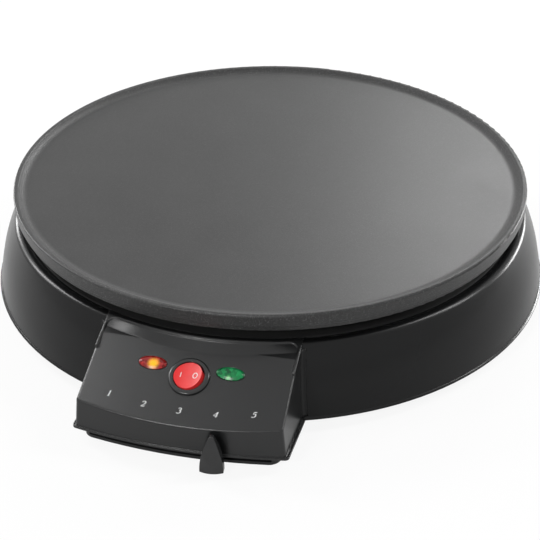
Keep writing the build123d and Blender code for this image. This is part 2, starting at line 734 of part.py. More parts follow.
# ---------------------------------------------------------------- temperature lever
TURN = radians(LEVER_REST)
OUTWARD = (sin(TURN), -cos(TURN), 0)
LEVER_PLAN = Plane(origin=(0, PIVOT_Y, ARM_LOW), x_dir=(cos(TURN), sin(TURN), 0), z_dir=(0, 0, 1))
LEVER_SIDE = Plane(origin=(0, PIVOT_Y, 0), x_dir=OUTWARD, z_dir=(-cos(TURN), -sin(TURN), 0))
LEVER_FACE = Plane(
    origin=(KNOB_BACK * OUTWARD[0], PIVOT_Y + KNOB_BACK * OUTWARD[1], 0),
    x_dir=(cos(TURN), sin(TURN), 0),
    z_dir=OUTWARD,
)
ARM_END = KNOB_BACK + 3.4

with BuildPart() as thermostat_shaft:
    with BuildSketch(Plane.XY.offset(ARM_LOW - 0.1)):
        with Locations((0, PIVOT_Y)):
            Circle(SHAFT_R)
    extrude(amount=BUSHING_TOP - 0.8 - ARM_LOW)
    chamfer(thermostat_shaft.edges().filter_by(GeomType.CIRCLE), 0.3)
finish(thermostat_shaft, "thermostat_shaft")

with BuildPart() as lever_arm:
    with BuildSketch(LEVER_PLAN):
        Circle(8)
        with BuildLine():
            Polyline(
                (-6, 0), (-4.2, -70), (-4.2, -150), (-2.8, -154), (-2.8, -ARM_END),
                (2.8, -ARM_END), (2.8, -154), (4.2, -150), (4.2, -70), (6, 0), (-6, 0),
            )
        make_face()
        Circle(SHAFT_R, mode=Mode.SUBTRACT)
    extrude(amount=ARM_HIGH - ARM_LOW)
finish(lever_arm, "lever_arm")

with BuildPart() as lever_clip:
    with BuildSketch(LEVER_PLAN.offset(ARM_HIGH - ARM_LOW)):
        Circle(6.2)
        Circle(SHAFT_R, mode=Mode.SUBTRACT)
    extrude(amount=1.2)
finish(lever_clip, "lever_clip")

with BuildPart() as lever_knob:
    half = KNOB_WIDTH / 2
    with BuildSketch(LEVER_FACE):
        with BuildLine():
            Polyline((-half, KNOB_LOW), (half, KNOB_LOW))
            ThreePointArc((half, KNOB_LOW), (half - 1.75, 16.0), (1.3, KNOB_TIP - 0.7))
            ThreePointArc((1.3, KNOB_TIP - 0.7), (0, KNOB_TIP), (-1.3, KNOB_TIP - 0.7))
            ThreePointArc((-1.3, KNOB_TIP - 0.7), (-half + 1.75, 16.0), (-half, KNOB_LOW))
        make_face()
    extrude(amount=KNOB_FRONT - KNOB_BACK)
    # front leaning back towards the tip
    with BuildSketch(LEVER_SIDE):
        with BuildLine():
            Polyline((KNOB_BACK, KNOB_TIP + 1), (KNOB_BACK, KNOB_LOW - 1), (KNOB_FRONT, KNOB_LOW - 1))
            ThreePointArc(
                (KNOB_FRONT, KNOB_LOW - 1), (KNOB_FRONT - 1.0, 16), (KNOB_BACK + 2.0, KNOB_TIP + 1)
            )
            Line((KNOB_BACK + 2.0, KNOB_TIP + 1), (KNOB_BACK, KNOB_TIP + 1))
        make_face()
    extrude(amount=20, both=True, mode=Mode.INTERSECT)
    # front rounded from side to side
    with BuildSketch(LEVER_PLAN.offset(-10)):
        with Locations((0, KNOB_BOW_R - KNOB_FRONT)):
            Circle(KNOB_BOW_R)
    extrude(amount=50, mode=Mode.INTERSECT)
    with BuildSketch(LEVER_PLAN):
        with Locations((0, -(KNOB_BACK + ARM_END) / 2)):
            Rectangle(5.6, ARM_END - KNOB_BACK)
    extrude(amount=ARM_HIGH - ARM_LOW, mode=Mode.SUBTRACT)
finish(lever_knob, "lever_knob")

# ---------------------------------------------------------------- power switch
SWITCH_FACE = panel_plane(0, SWITCH_Y)
ROCKER_PIVOT = SWITCH_FACE.from_local_coords(Vector(0, 0, -ROCKER_PIVOT_DEPTH))
ROCKER_AXLE = Plane(origin=ROCKER_PIVOT, x_dir=(1, 0, 0), z_dir=SWITCH_FACE.y_dir)
PIN_REACH = 9.6
ROCKER_LEAN = radians(ROCKER_TILT)
# the rocker rests with its +X side raised
ROCKER_LEVEL = Plane(
    origin=ROCKER_PIVOT,
    x_dir=Vector(1, 0, 0) * cos(ROCKER_LEAN) + SWITCH_FACE.z_dir * sin(ROCKER_LEAN),
    z_dir=SWITCH_FACE.z_dir * cos(ROCKER_LEAN) - Vector(1, 0, 0) * sin(ROCKER_LEAN),
)
ROCKER_SIDE = Plane(origin=ROCKER_PIVOT, x_dir=ROCKER_LEVEL.x_dir, z_dir=-SWITCH_FACE.y_dir)
ROCKER_UP, ROCKER_DOWN = 3.3, 3.4  # the rocker's top rim and underside, from its pivot

with BuildPart() as switch_bezel:
    with BuildSketch(SWITCH_FACE):
        Circle(BEZEL_R)
    extrude(amount=BEZEL_HEIGHT)
    fillet(switch_bezel.faces().sort_by_distance(SWITCH_FACE.offset(BEZEL_HEIGHT).origin)[0].edges(), 1.1)
    with BuildSketch(SWITCH_FACE):
        Circle(SWITCH_BARREL_R)
    extrude(amount=-15)
    with BuildSketch(SWITCH_FACE.offset(BEZEL_HEIGHT)):
        Circle(ROCKER_HOLE_R)
    extrude(amount=-BEZEL_HEIGHT - 10.5, mode=Mode.SUBTRACT)
    with BuildSketch(ROCKER_AXLE):
        Circle(PIN_R + RUNNING)
    extrude(amount=PIN_REACH + 0.1, both=True, mode=Mode.SUBTRACT)
finish(switch_bezel, "switch_bezel")

with BuildPart() as switch_rocker:
    with BuildSketch(ROCKER_LEVEL.offset(-ROCKER_DOWN)):
        Circle(ROCKER_R)
    extrude(amount=ROCKER_UP + ROCKER_DOWN)
    # dished top
    with BuildSketch(ROCKER_SIDE):
        with Locations((0, ROCKER_UP + 29)):
            Circle(30)
    extrude(amount=12, both=True, mode=Mode.SUBTRACT)
    with BuildSketch(ROCKER_SIDE):
        Circle(PIN_R)
    extrude(amount=PIN_REACH, both=True)
finish(switch_rocker, "switch_rocker")

with BuildPart() as switch_terminals:
    with BuildSketch(SWITCH_FACE.offset(-15)):
        with Locations((-4.5, 0), (4.5, 0)):
            Rectangle(0.8, 6.3)
    extrude(amount=-6.5)
finish(switch_terminals, "switch_terminals")

# ---------------------------------------------------------------- indicator lamps
LENS_LIP = 1.0  # the lens's hidden lip, under the panel
LENS_STANDS = 0.3
LENS_BOTTOM = SHELL + 1.6

for name, x in (("power_lamp_lens", -LAMP_X), ("ready_lamp_lens", LAMP_X)):
    face = panel_plane(x, LAMP_Y)
    with BuildPart() as lens:
        with BuildSketch(face.offset(-SHELL)):
            Ellipse(LAMP_HALF_LENGTH, LAMP_HALF_WIDTH)
        extrude(amount=SHELL + LENS_STANDS)
        # domed face
        with BuildSketch(face.offset(LENS_STANDS)):
            Ellipse(LAMP_HALF_LENGTH, LAMP_HALF_WIDTH)
        with BuildSketch(face.offset(LENS_STANDS + 0.8)):
            Ellipse(LAMP_HALF_LENGTH - 1.6, LAMP_HALF_WIDTH - 1.3)
        loft()
        with BuildSketch(face.offset(-LENS_BOTTOM)):
            Ellipse(LAMP_HALF_LENGTH + LENS_LIP, LAMP_HALF_WIDTH + LENS_LIP)
        extrude(amount=LENS_BOTTOM - SHELL)
    finish(lens, name)

with BuildPart() as lamp_holders:
    for x in (-LAMP_X, LAMP_X):
        with BuildSketch(panel_plane(x, LAMP_Y).offset(-LENS_BOTTOM)):
            Rectangle(13, 8.2)
        extrude(amount=-8)
        with BuildSketch(panel_plane(x, LAMP_Y).offset(-LENS_BOTTOM)):
            Rectangle(10.6, 5.4)
        extrude(amount=-6.6, mode=Mode.SUBTRACT)
finish(lamp_holders, "lamp_holders")

with BuildPart() as lamp_bulbs:
    for x in (-LAMP_X, LAMP_X):
        middle = panel_plane(x, LAMP_Y).offset(-LENS_BOTTOM - 3.4).origin
        with BuildSketch(Plane(origin=middle, x_dir=(0, 1, 0), z_dir=(1, 0, 0))):
            Circle(2.1)
        extrude(amount=4.7, both=True)
finish(lamp_bulbs, "lamp_bulbs")

# ---------------------------------------------------------------- cord inlet at the back
with BuildPart() as cord_gland:
    with BuildSketch(Plane.XZ.offset(-GLAND_PAD_Y - 3)):
        with Locations((0, CORD_Z)):
            Circle(9.6)
    extrude(amount=3)
    fillet(cord_gland.faces().sort_by(Axis.Y)[-1].edges(), 1.2)
    with BuildSketch(Plane.XZ.offset(-GLAND_PAD_Y)):
        with Locations((0, CORD_Z)):
            Circle(6.5)
    extrude(amount=14)
    with BuildSketch(Plane.XZ.offset(-159.2)):
        with Locations((0, CORD_Z)):
            RegularPolygon(8, 6)
    extrude(amount=4)
    with BuildSketch(Plane.XZ.offset(-GLAND_PAD_Y - 3)):
        with Locations((0, CORD_Z)):
            Circle(CORD_BORE_R)
    extrude(amount=17, mode=Mode.SUBTRACT)
finish(cord_gland, "cord_gland")

CLAMP_POSTS = ((-12.0, 140.0), (12.0, 140.0))
CLAMP_Z = CORD_Z + 2.4

with BuildPart() as cord_clamp:
    with BuildSketch(Plane.XY.offset(CLAMP_Z)):
        with Locations((0, 140)):
            SlotOverall(33, 8)
        with Locations(*CLAMP_POSTS):
            Circle(1.6, mode=Mode.SUBTRACT)
    extrude(amount=3)
finish(cord_clamp, "cord_clamp")

with BuildPart() as cord_clamp_screws:
    with BuildSketch(Plane.XY.offset(CLAMP_Z + 3)):
        with Locations(*CLAMP_POSTS):
            Circle(2.7)
    extrude(amount=2)
    with BuildSketch(Plane.XY.offset(CLAMP_Z + 3)):
        with Locations(*CLAMP_POSTS):
            Circle(1.15)
    extrude(amount=-14)
finish(cord_clamp_screws, "cord_clamp_screws")

# ---------------------------------------------------------------- terminal block and wiring
BLOCK_Y, BLOCK_TOP = 120.0, 17.0
BLOCK_WAYS = (-12.0, 0.0, 12.0)

with BuildPart() as terminal_block:
    with BuildSketch(Plane.XY.offset(FLOOR_TOP)):
        with Locations((0, BLOCK_Y)):
            Rectangle(36, 14)
    extrude(amount=BLOCK_TOP - FLOOR_TOP)
    with BuildSketch(Plane.XY.offset(BLOCK_TOP)):
        with Locations(*[(x, BLOCK_Y) for x in BLOCK_WAYS]):
            Circle(2.6)
    extrude(amount=-3, mode=Mode.SUBTRACT)
finish(terminal_block, "terminal_block")

with BuildPart() as terminal_screws:
    with BuildSketch(Plane.XY.offset(BLOCK_TOP - 3)):
        with Locations(*[(x, BLOCK_Y) for x in BLOCK_WAYS]):
            Circle(2.4)
    extrude(amount=2.4)
finish(terminal_screws, "terminal_screws")

with BuildPart() as hotplate_screws:
    for angle in PILLAR_ANGLES:
        x, y = polar(PILLAR_R, angle)
        with BuildSketch(Plane.XY.offset(SHIELD_Z - SHELL)):
            with Locations((x, y)):
                Circle(2.0)
        extrude(amount=15)
        with BuildSketch(Plane.XY.offset(SHIELD_Z - SHELL - 3)):
            with Locations((x, y)):
                Circle(4)
        extrude(amount=3)
finish(hotplate_screws, "hotplate_screws")

with BuildPart() as earth_screw:
    with BuildSketch(Plane.XY.offset(BED_LOW - 1.2)):
        with Locations((0, 82)):
            Circle(1.5)
    extrude(amount=5.4)
    with BuildSketch(Plane.XY.offset(BED_LOW - 3.4)):
        with Locations((0, 82)):
            Circle(3)
    extrude(amount=2.2)
finish(earth_screw, "earth_screw")

with BuildPart() as earth_tag:
    with BuildSketch(Plane.XY.offset(BED_LOW)):
        with Locations((0, 82)):
            Circle(4)
        with Locations((0, 76)):
            Rectangle(4, 8)
        with Locations((0, 82)):
            Circle(1.6, mode=Mode.SUBTRACT)
    extrude(amount=-1.2)
finish(earth_tag, "earth_tag")

FUSE_R = 2.6
FUSE_Y = 33.0
FUSE_Z = BED_LOW

with BuildPart() as thermal_fuse:
    with BuildSketch(Plane.YZ.offset(-7)):
        with Locations((FUSE_Y, FUSE_Z)):
            Circle(FUSE_R)
    extrude(amount=14)
    with BuildSketch(Plane.YZ.offset(-16)):
        with Locations((FUSE_Y, FUSE_Z)):
            Circle(0.6)
    extrude(amount=32)
finish(thermal_fuse, "thermal_fuse")

with BuildPart() as fuse_clip:
    band = FUSE_R + 0.1
    with BuildSketch(Plane.YZ):
        with BuildLine():
            Line((FUSE_Y - band, FUSE_Z), (FUSE_Y - band - 0.8, FUSE_Z))
            ThreePointArc(
                (FUSE_Y - band - 0.8, FUSE_Z), (FUSE_Y, FUSE_Z - band - 0.8),
                (FUSE_Y + band + 0.8, FUSE_Z - 0.8),
            )
            Polyline(
                (FUSE_Y + band + 0.8, FUSE_Z - 0.8), (45, FUSE_Z - 0.8), (45, FUSE_Z),
                (FUSE_Y + band, FUSE_Z),
            )
            ThreePointArc((FUSE_Y + band, FUSE_Z), (FUSE_Y, FUSE_Z - band), (FUSE_Y - band, FUSE_Z))
        make_face()
    extrude(amount=4, both=True)
    with BuildSketch(Plane.XY.offset(BED_LOW)):
        with Locations((0, 41)):
            Circle(1.6)
    extrude(amount=-2, mode=Mode.SUBTRACT)
finish(fuse_clip, "fuse_clip")

with BuildPart() as fuse_screw:
    with BuildSketch(Plane.XY.offset(BED_LOW - 0.8)):
        with Locations((0, 41)):
            Circle(1.5)
    extrude(amount=5)
    with BuildSketch(Plane.XY.offset(BED_LOW - 3)):
        with Locations((0, 41)):
            Circle(3)
    extrude(amount=2.2)
finish(fuse_screw, "fuse_screw")

LEAD_R = 1.3
TAB_LOW = BRACKET_TOP - 10.4
PINS = [(p.X, p.Y, LEG_LOW - 12) for p in ELEMENT_LEGS]
SWITCH_TABS = [SWITCH_FACE.from_local_coords(Vector(x, 0, -21.5)) for x in (-4.5, 4.5)]
TAB_APPROACH = [tab - SWITCH_FACE.z_dir * 5.6 for tab in SWITCH_TABS]

# corner points of each lead's route
LEADS = {
    "earth_lead": [(0, 113, 11), (0, 98, 11), (0, 80, 46), (0, 74.5, 57.3)],
    "neutral_lead": [(-12, 113, 11), (-12, 104, 11), (*PINS[0][:2], 20), PINS[0]],
    "element_lead": [PINS[1], (*PINS[1][:2], 22), (26, 40, 24), (5.5, -25.6, 36), (5.5, -25.6, TAB_LOW)],
    "switch_lead": [
        (-5.5, -25.6, TAB_LOW), (-5.5, -25.6, 38), (-40, -60, 28), (-22, -140, 16),
        TAB_APPROACH[0], SWITCH_TABS[0],
    ],
    "live_lead": [
        (12, 113, 11), (12, 106, 11), (62, 50, 12), (62, -60, 14), (22, -140, 14),
        TAB_APPROACH[1], SWITCH_TABS[1],
    ],
}

for name, points in LEADS.items():
    with BuildPart() as lead:
        with BuildLine() as route:
            FilletPolyline(*points, radius=2.4)
        with BuildSketch(Plane(origin=route.line @ 0, z_dir=route.line % 0)):
            Circle(LEAD_R)
        sweep(path=route.line)
    finish(lead, name)
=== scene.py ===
# %% [markdown] An electric crepe maker, dressed for rendering. The solids come from the packed model,
# which is the fixed frame: every object below sits in that same space, in metres, with the hotplate's
# axis as Z, the table at height 0 and the controls facing -Y.

from math import cos, pi, radians, sin, sqrt, tan

import bmesh
import bpy
from mathutils import Matrix, Vector


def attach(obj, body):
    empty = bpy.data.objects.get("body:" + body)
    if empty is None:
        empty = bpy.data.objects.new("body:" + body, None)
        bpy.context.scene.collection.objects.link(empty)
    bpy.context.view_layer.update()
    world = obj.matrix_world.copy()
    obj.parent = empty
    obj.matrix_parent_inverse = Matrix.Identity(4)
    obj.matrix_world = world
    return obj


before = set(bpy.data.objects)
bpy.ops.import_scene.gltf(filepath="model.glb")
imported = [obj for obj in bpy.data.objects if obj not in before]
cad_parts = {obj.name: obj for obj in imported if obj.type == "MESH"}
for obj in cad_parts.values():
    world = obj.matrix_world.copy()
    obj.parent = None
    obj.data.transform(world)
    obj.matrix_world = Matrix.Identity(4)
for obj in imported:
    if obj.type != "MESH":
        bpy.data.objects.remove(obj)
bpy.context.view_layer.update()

# %% [markdown]
# The camera is a long lens a little over a metre away, right of the controls and looking down at
# about 32 degrees. A camera is aimed by its rotation matrix: its own -Z is the direction of sight and
# its own Y is up in the image. Building that matrix from two directions avoids working out angles,
# and keeps a slight roll exactly.

# %% Camera
EYE = (0.264478, -0.984935, 0.632532)
SIGHT = Vector((-0.221042, 0.821427, -0.525736)).normalized()
IMAGE_UP = Vector((-0.129779, 0.509502, 0.850627)).normalized()
FOCAL_LENGTH, FILM_WIDTH = 127.965, 36  # both in millimetres

lens = bpy.data.cameras.new("camera")
lens.lens = FOCAL_LENGTH
lens.sensor_width = FILM_WIDTH
camera = bpy.data.objects.new("camera", lens)
across = SIGHT.cross(IMAGE_UP).normalized()
turn = Matrix((across, IMAGE_UP, -SIGHT)).transposed().to_4x4()
camera.matrix_world = Matrix.Translation(EYE) @ turn
bpy.context.scene.collection.objects.link(camera)
bpy.context.scene.camera = camera
bpy.context.scene.view_settings.view_transform = "Standard"
print("camera", tuple(round(v, 3) for v in camera.location), "lens", lens.lens)

# %% [markdown]
# Materials are small programs of nodes. Written as node calls alone, even `1 - mask` takes three
# lines, so one class wraps a socket and teaches it Python's operators: an expression on signals adds
# the Math nodes itself. The reflected forms, such as `__rsub__`, let a plain number stand on the
# left.


# %% A signal: one value on its way through a graph of nodes
class Signal:
    def __init__(self, graph, socket):
        self.graph = graph
        self.socket = socket

    def joined(self, operation, first, second):
        return self.graph.node("Math", {"operation": operation}, {0: first, 1: second})

    def __add__(self, other):
        return self.joined("ADD", self, other)

    def __sub__(self, other):
        return self.joined("SUBTRACT", self, other)

    def __rsub__(self, other):
        return self.joined("SUBTRACT", other, self)

    def __mul__(self, other):
        return self.joined("MULTIPLY", self, other)

    def __truediv__(self, other):
        return self.joined("DIVIDE", self, other)

    def __rtruediv__(self, other):
        return self.joined("DIVIDE", other, self)

    def __pow__(self, other):
        return self.joined("POWER", self, other)

    def __gt__(self, other):
        return self.joined("GREATER_THAN", self, other)

    def __lt__(self, other):
        return self.joined("LESS_THAN", self, other)

    __radd__ = __add__
    __rmul__ = __mul__


print("signals add, subtract, multiply, divide, raise and compare")

# %% [markdown]
# A graph is the set of nodes behind a material or behind the world. Its `node` method makes any node
# from a type, the settings that must come first, such as a ramp's stops, and the values or signals of
# its sockets. With that one method, no cell has to link sockets by hand.


# %% A graph of nodes
class Graph:
    def __init__(self, tree):
        self.tree = tree

    def node(self, kind, settings=None, inputs=None, output=0):
        made = self.tree.nodes.new("ShaderNode" + kind)
        for key, value in (settings or {}).items():
            if key == "stops":
                self.set_stops(made.color_ramp, value)
            else:
                setattr(made, key, value)
        self.feed(made, inputs or {})
        return Signal(self, made.outputs[output])

    def feed(self, made, inputs):
        for key, value in inputs.items():
            if isinstance(value, Signal):
                self.tree.links.new(value.socket, made.inputs[key])
            else:
                made.inputs[key].default_value = value

    def set_stops(self, ramp, stops):
        while len(ramp.elements) < len(stops):
            ramp.elements.new(0.5)
        for element, (position, colour) in zip(ramp.elements, stops):
            element.position = position
            element.color = colour


print("a graph has", [name for name in vars(Graph) if not name.startswith("_")])

# %% [markdown]
# A finish is one material. `shade` sets the surface shader's own sockets, and `grain` turns a height
# signal into small bumps. Positions come in metres from the object's own space, so a texture's scale
# reads as details per metre and stays put when the camera or a lever moves.


# %% A finish: one material built from signals
class Finish(Graph):
    def __init__(self, name):
        self.material = bpy.data.materials.new(name)
        self.material.use_nodes = True
        super().__init__(self.material.node_tree)
        self.shader = self.tree.nodes["Principled BSDF"]
        self.place = self.node("TexCoord", output="Object")

    def axis(self, letter):
        return self.node("SeparateXYZ", {}, {0: self.place}, output=letter)

    def radius(self):
        """Distance from the hotplate's axis."""
        return (self.axis("X") ** 2 + self.axis("Y") ** 2) ** 0.5

    def shade(self, **values):
        self.feed(self.shader, {key.replace("_", " "): value for key, value in values.items()})

    def noise(self, scale, detail=2.0, roughness=0.5):
        sockets = {"Vector": self.place, "Scale": scale, "Detail": detail, "Roughness": roughness}
        return self.node("TexNoise", {}, sockets)

    def facets(self, scale):
        """A grey level of its own for each flat cell of a Voronoi texture."""
        cells = self.node("TexVoronoi", {}, {"Vector": self.place, "Scale": scale}, output="Color")
        return self.node("SeparateColor", {}, {0: cells})

    def between(self, amount, first, second):
        return self.node("Mix", {"data_type": "RGBA"}, {0: amount, 6: first, 7: second}, output=2)

    def grain(self, height, strength, depth, normal=None):
        """Small bumps from a height signal, laid over the surface's own normal or over the one given."""
        sockets = {"Height": height, "Strength": strength, "Distance": depth}
        if normal:
            sockets["Normal"] = normal
        return self.node("Bump", {}, sockets)

    def rounded(self, edge):
        """The surface's normal, turning smoothly round sharp corners within this radius."""
        return self.node("Bevel", {"samples": 6}, {"Radius": edge})


def grey(level, warmth=0.0):
    """A near-neutral colour; warmth above 0 leans to brown and below 0 to blue."""
    return (level * (1 + warmth), level, level * (1 - warmth), 1)


def dimmed(colour, share):
    """The same colour with only a share of its light."""
    return tuple(v * share for v in colour[:3]) + (1,)


def dress(finish, *nodes):
    """Gives packed solids this finish."""
    for name in nodes:
        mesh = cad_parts[name].data
        mesh.materials.clear()
        mesh.materials.append(finish.material)


print("a finish starts as", Finish("trial").shader.bl_idname)
bpy.data.materials.remove(bpy.data.materials["trial"])

# %% [markdown]
# The hotplate and the base are turned shapes. A turned mesh is made of long thin triangles, and their
# averaged normals make the highlight on a curved rim look like rope. Finer triangles would cure it
# slowly; the exact normal cures it at once, because on a turned surface it follows from the place
# alone: so much outward, so much upward.

# %% True normals for turned shapes
ALIKE = 0.96  # least agreement, as a dot product, between the mesh's normal and the exact one
TINY = 0.000001  # keeps the inside of a square root above zero


def turned(finish, outward, upward, plain):
    """The exact normal where the mesh already faces nearly that way, and the plain one elsewhere."""
    flat = finish.node("CombineXYZ", {}, {0: finish.axis("X"), 1: finish.axis("Y")})
    spoke = finish.node("VectorMath", {"operation": "NORMALIZE"}, {0: flat})
    side = finish.node("VectorMath", {"operation": "SCALE"}, {0: spoke, "Scale": outward})
    rise = finish.node("CombineXYZ", {}, {2: upward})
    true = finish.node("VectorMath", {"operation": "ADD"}, {0: side, 1: rise})
    facing = finish.node("NewGeometry", output="Normal")
    match = finish.node("VectorMath", {"operation": "DOT_PRODUCT"}, {0: true, 1: facing}, output="Value")
    return finish.node("Mix", {"data_type": "VECTOR"}, {0: match > ALIKE, 4: plain, 5: true}, output=1)


print("exact normals are used within", ALIKE, "of the mesh's own")

# %% [markdown]
# The hotplate is cast aluminium with a sprayed non-stick coating: almost black, with a satin sheen
# that turns paler at a low angle, and fine pale flecks in the spray. A noise at about two details per
# millimetre makes the flecks, and a coarser one makes the sheen patchy, as sprayed coatings are. The
# coat is thin over the rim's edge, so the flecks show more there: the radius from the plate's axis
# tells the rim from the flat. A ramp over that radius also holds how far the surface leans outward,
# which is what the exact normal needs.

# %% Hotplate's non-stick coating
RIM_FOOT, PLATE_EDGE = 0.1455, 0.155  # radii where the plate starts to curve up, and where it ends
FLECKED_FROM = 0.1478  # the radius from which the coat is thin
LEANS = (  # radius, and the outward part of the normal there
    (RIM_FOOT, 0.0), (0.1517, -0.60), (0.1527, -0.133), (0.15385, -0.133), (0.15492, 0.95), (PLATE_EDGE, 1.0),
)


def along_rim(radius):
    """0 at the rim's foot and 1 at the plate's edge, for a number or a signal."""
    return (radius - RIM_FOOT) / (PLATE_EDGE - RIM_FOOT)


coating = Finish("nonstick_coating")
radius = coating.radius()
on_rim = radius > FLECKED_FROM
lean_stops = [(along_rim(r), grey((lean + 1) / 2)) for r, lean in LEANS]
lean = coating.node("ValToRGB", {"stops": lean_stops}, {0: along_rim(radius)}) * 2 - 1
upright = (1 - lean * lean + TINY) ** 0.5
cast_shape = turned(coating, lean, upright, coating.rounded(0.0004))
flecks = coating.noise(scale=1900, detail=3.0, roughness=0.6)
spots = coating.node("ValToRGB", {"stops": [(0.56, grey(0)), (0.72, grey(1))]}, {0: flecks})
patches = coating.noise(scale=34, detail=3.0)
bare = coating.between(patches, grey(0.020), grey(0.032))
coating.shade(
    Base_Color=coating.between(spots * (0.22 + on_rim * 0.5), bare, grey(0.2)),
    Roughness=0.32 + patches * 0.08 + on_rim * 0.02,
    Normal=coating.grain(flecks, strength=0.35, depth=0.0002, normal=cast_shape),
    Specular_IOR_Level=0.3,
)
dress(coating, "hotplate")
print("coating has", len(coating.tree.nodes), "nodes")

# %% [markdown]
# The base and the control housing are black moulded plastic. Real mouldings are never mirror flat: a
# fine spark-eroded grain breaks up the reflection, and handling leaves slightly duller patches, so
# each moulding has both. What tells them apart is their gloss. The base takes little light straight
# on and carries long, soft streaks, the housing and the knob are glossier, and the cover underneath
# is dull.


# %% Black mouldings
def moulding(name, level, roughness, ripple, gloss=0.5, scale=2600, edge=0.0004, shape=None):
    """A moulded plastic. The edge is how far, in metres, its corners are rounded."""
    patchy = 0.06
    made = Finish(name)
    cloud = made.noise(scale=26, detail=4.0, roughness=0.6)
    fine = made.noise(scale=scale)
    normal = made.rounded(edge)
    if shape:
        normal = shape(made, normal)
    made.shade(
        Base_Color=made.between(cloud, grey(level * 0.85, -0.03), grey(level * 1.15, -0.03)),
        Roughness=(roughness - patchy / 2) + cloud * patchy,
        Normal=made.grain(fine, strength=ripple, depth=0.0001, normal=normal),
        Specular_IOR_Level=gloss,
    )
    return made


housing_plastic = moulding(
    "housing_plastic", level=0.010, roughness=0.25, ripple=0.16, gloss=0.42, edge=0.001
)
cover_plastic = moulding("cover_plastic", level=0.010, roughness=0.5, ripple=0.5, gloss=0.3)
knob_plastic = moulding("knob_plastic", level=0.010, roughness=0.22, ripple=0.1, edge=0.0007)
bezel_plastic = moulding("bezel_plastic", level=0.008, roughness=0.2, ripple=0.06)
block_plastic = moulding("block_plastic", level=0.7, roughness=0.5, ripple=0.3)
dress(housing_plastic, "control_housing")
dress(cover_plastic, "bottom_cover", "lamp_holders", "cord_gland", "cord_clamp")
dress(knob_plastic, "lever_knob")
dress(bezel_plastic, "switch_bezel")
dress(block_plastic, "terminal_block")
print("mouldings:", [m.name for m in bpy.data.materials if m.name.endswith("plastic")])

# %% [markdown]
# The base is turned like the plate, so it gets its exact normals too. Its shoulder is a quarter
# round, so there the upward part follows a circle over the radius. Below that the skirt flares, ever
# steeper towards its foot, so there the upward part falls with the height. The greater of the two is
# right at every point.

# %% Base
SHOULDER_MIDDLE, SHOULDER_ROUND = 0.15176, 0.00459  # radius of the shoulder's centre line, and its roundness
SKIRT_FOOT, SKIRT_HEIGHT = 0.0092, 0.0386
FOOT_LEAN = 0.1  # upward part of the skirt's normal at its foot
FLARE_LEAN, FLARE_CURVE = 0.36, 1.4  # how much it gains by the top, and how unevenly


def base_shape(finish, plain):
    """The base's normals, from how far up it faces on the shoulder and on the skirt."""
    over = finish.node("Clamp", {}, {0: (finish.radius() - SHOULDER_MIDDLE) / SHOULDER_ROUND})
    shoulder = (1 - over * over) ** 0.5
    height = finish.node("Clamp", {}, {0: (finish.axis("Z") - SKIRT_FOOT) / SKIRT_HEIGHT})
    skirt = FOOT_LEAN + height ** FLARE_CURVE * FLARE_LEAN
    upward = finish.node("Math", {"operation": "MAXIMUM"}, {0: shoulder, 1: skirt})
    outward = (1 + TINY - upward * upward) ** 0.5
    return turned(finish, outward, upward, plain)


base_plastic = moulding(
    "base_plastic", level=0.006, roughness=0.26, ripple=0.18, gloss=0.19, scale=1500, shape=base_shape
)
dress(base_plastic, "base_housing")
print("base has", len(base_plastic.tree.nodes), "nodes")

# %% [markdown]
# Inside and below are the plain working parts. Sheet and screws are zinc-plated steel, whose crystals
# give the plating a faint two-tone mottle; a Voronoi texture's flat cells look like them. The
# element's sheath has gone dull brown-grey with heat and the feet are matt rubber. The shield is
# coloured near black as painted shade for the gap under the plate, so that nothing glints there.


# %% Working metals, ceramic, rubber and lead insulation
def plated(name, colour, roughness):
    """A bright metal with a crystal mottle and fine scratches."""
    made = Finish(name)
    level = made.facets(420)
    scratches = made.noise(scale=900, detail=4.0, roughness=0.7)
    made.shade(
        Base_Color=made.between(level * 0.5 + scratches * 0.3, colour, dimmed(colour, 0.8)),
        Metallic=1.0,
        Roughness=roughness + level * 0.12,
        Normal=made.grain(scratches, strength=0.15, depth=0.0001),
    )
    return made


def matt(name, colour, other, roughness, scale=300, bump=0.4):
    """A non-metal with a soft mottle between two colours."""
    made = Finish(name)
    mottle = made.noise(scale=scale, detail=4.0, roughness=0.6)
    made.shade(
        Base_Color=made.between(mottle, colour, other),
        Roughness=roughness + mottle * 0.1,
        Normal=made.grain(mottle, strength=bump, depth=0.0002),
    )
    return made


zinc = plated("zinc_plating", (0.62, 0.63, 0.65, 1), roughness=0.3)
screw_steel = plated("screw_steel", (0.55, 0.56, 0.57, 1), roughness=0.26)
brass = plated("brass", (0.72, 0.52, 0.22, 1), roughness=0.28)
sheath = matt("element_sheath", (0.10, 0.085, 0.07, 1), (0.19, 0.17, 0.15, 1), roughness=0.5)
ceramic = matt("ceramic", (0.72, 0.7, 0.64, 1), (0.8, 0.78, 0.73, 1), roughness=0.6)
# Painted shade: the heat shield's near-black stands in for the dark gap under the plate.
black_sheet = matt("black_sheet", grey(0.006), grey(0.010), roughness=0.7)
foot_rubber = matt("foot_rubber", grey(0.018), grey(0.03), roughness=0.75, scale=500, bump=0.7)
brown_sleeve = matt("live_insulation", (0.14, 0.05, 0.02, 1), (0.17, 0.07, 0.03, 1), roughness=0.45)
blue_sleeve = matt("neutral_insulation", (0.02, 0.08, 0.35, 1), (0.03, 0.10, 0.4, 1), roughness=0.45)

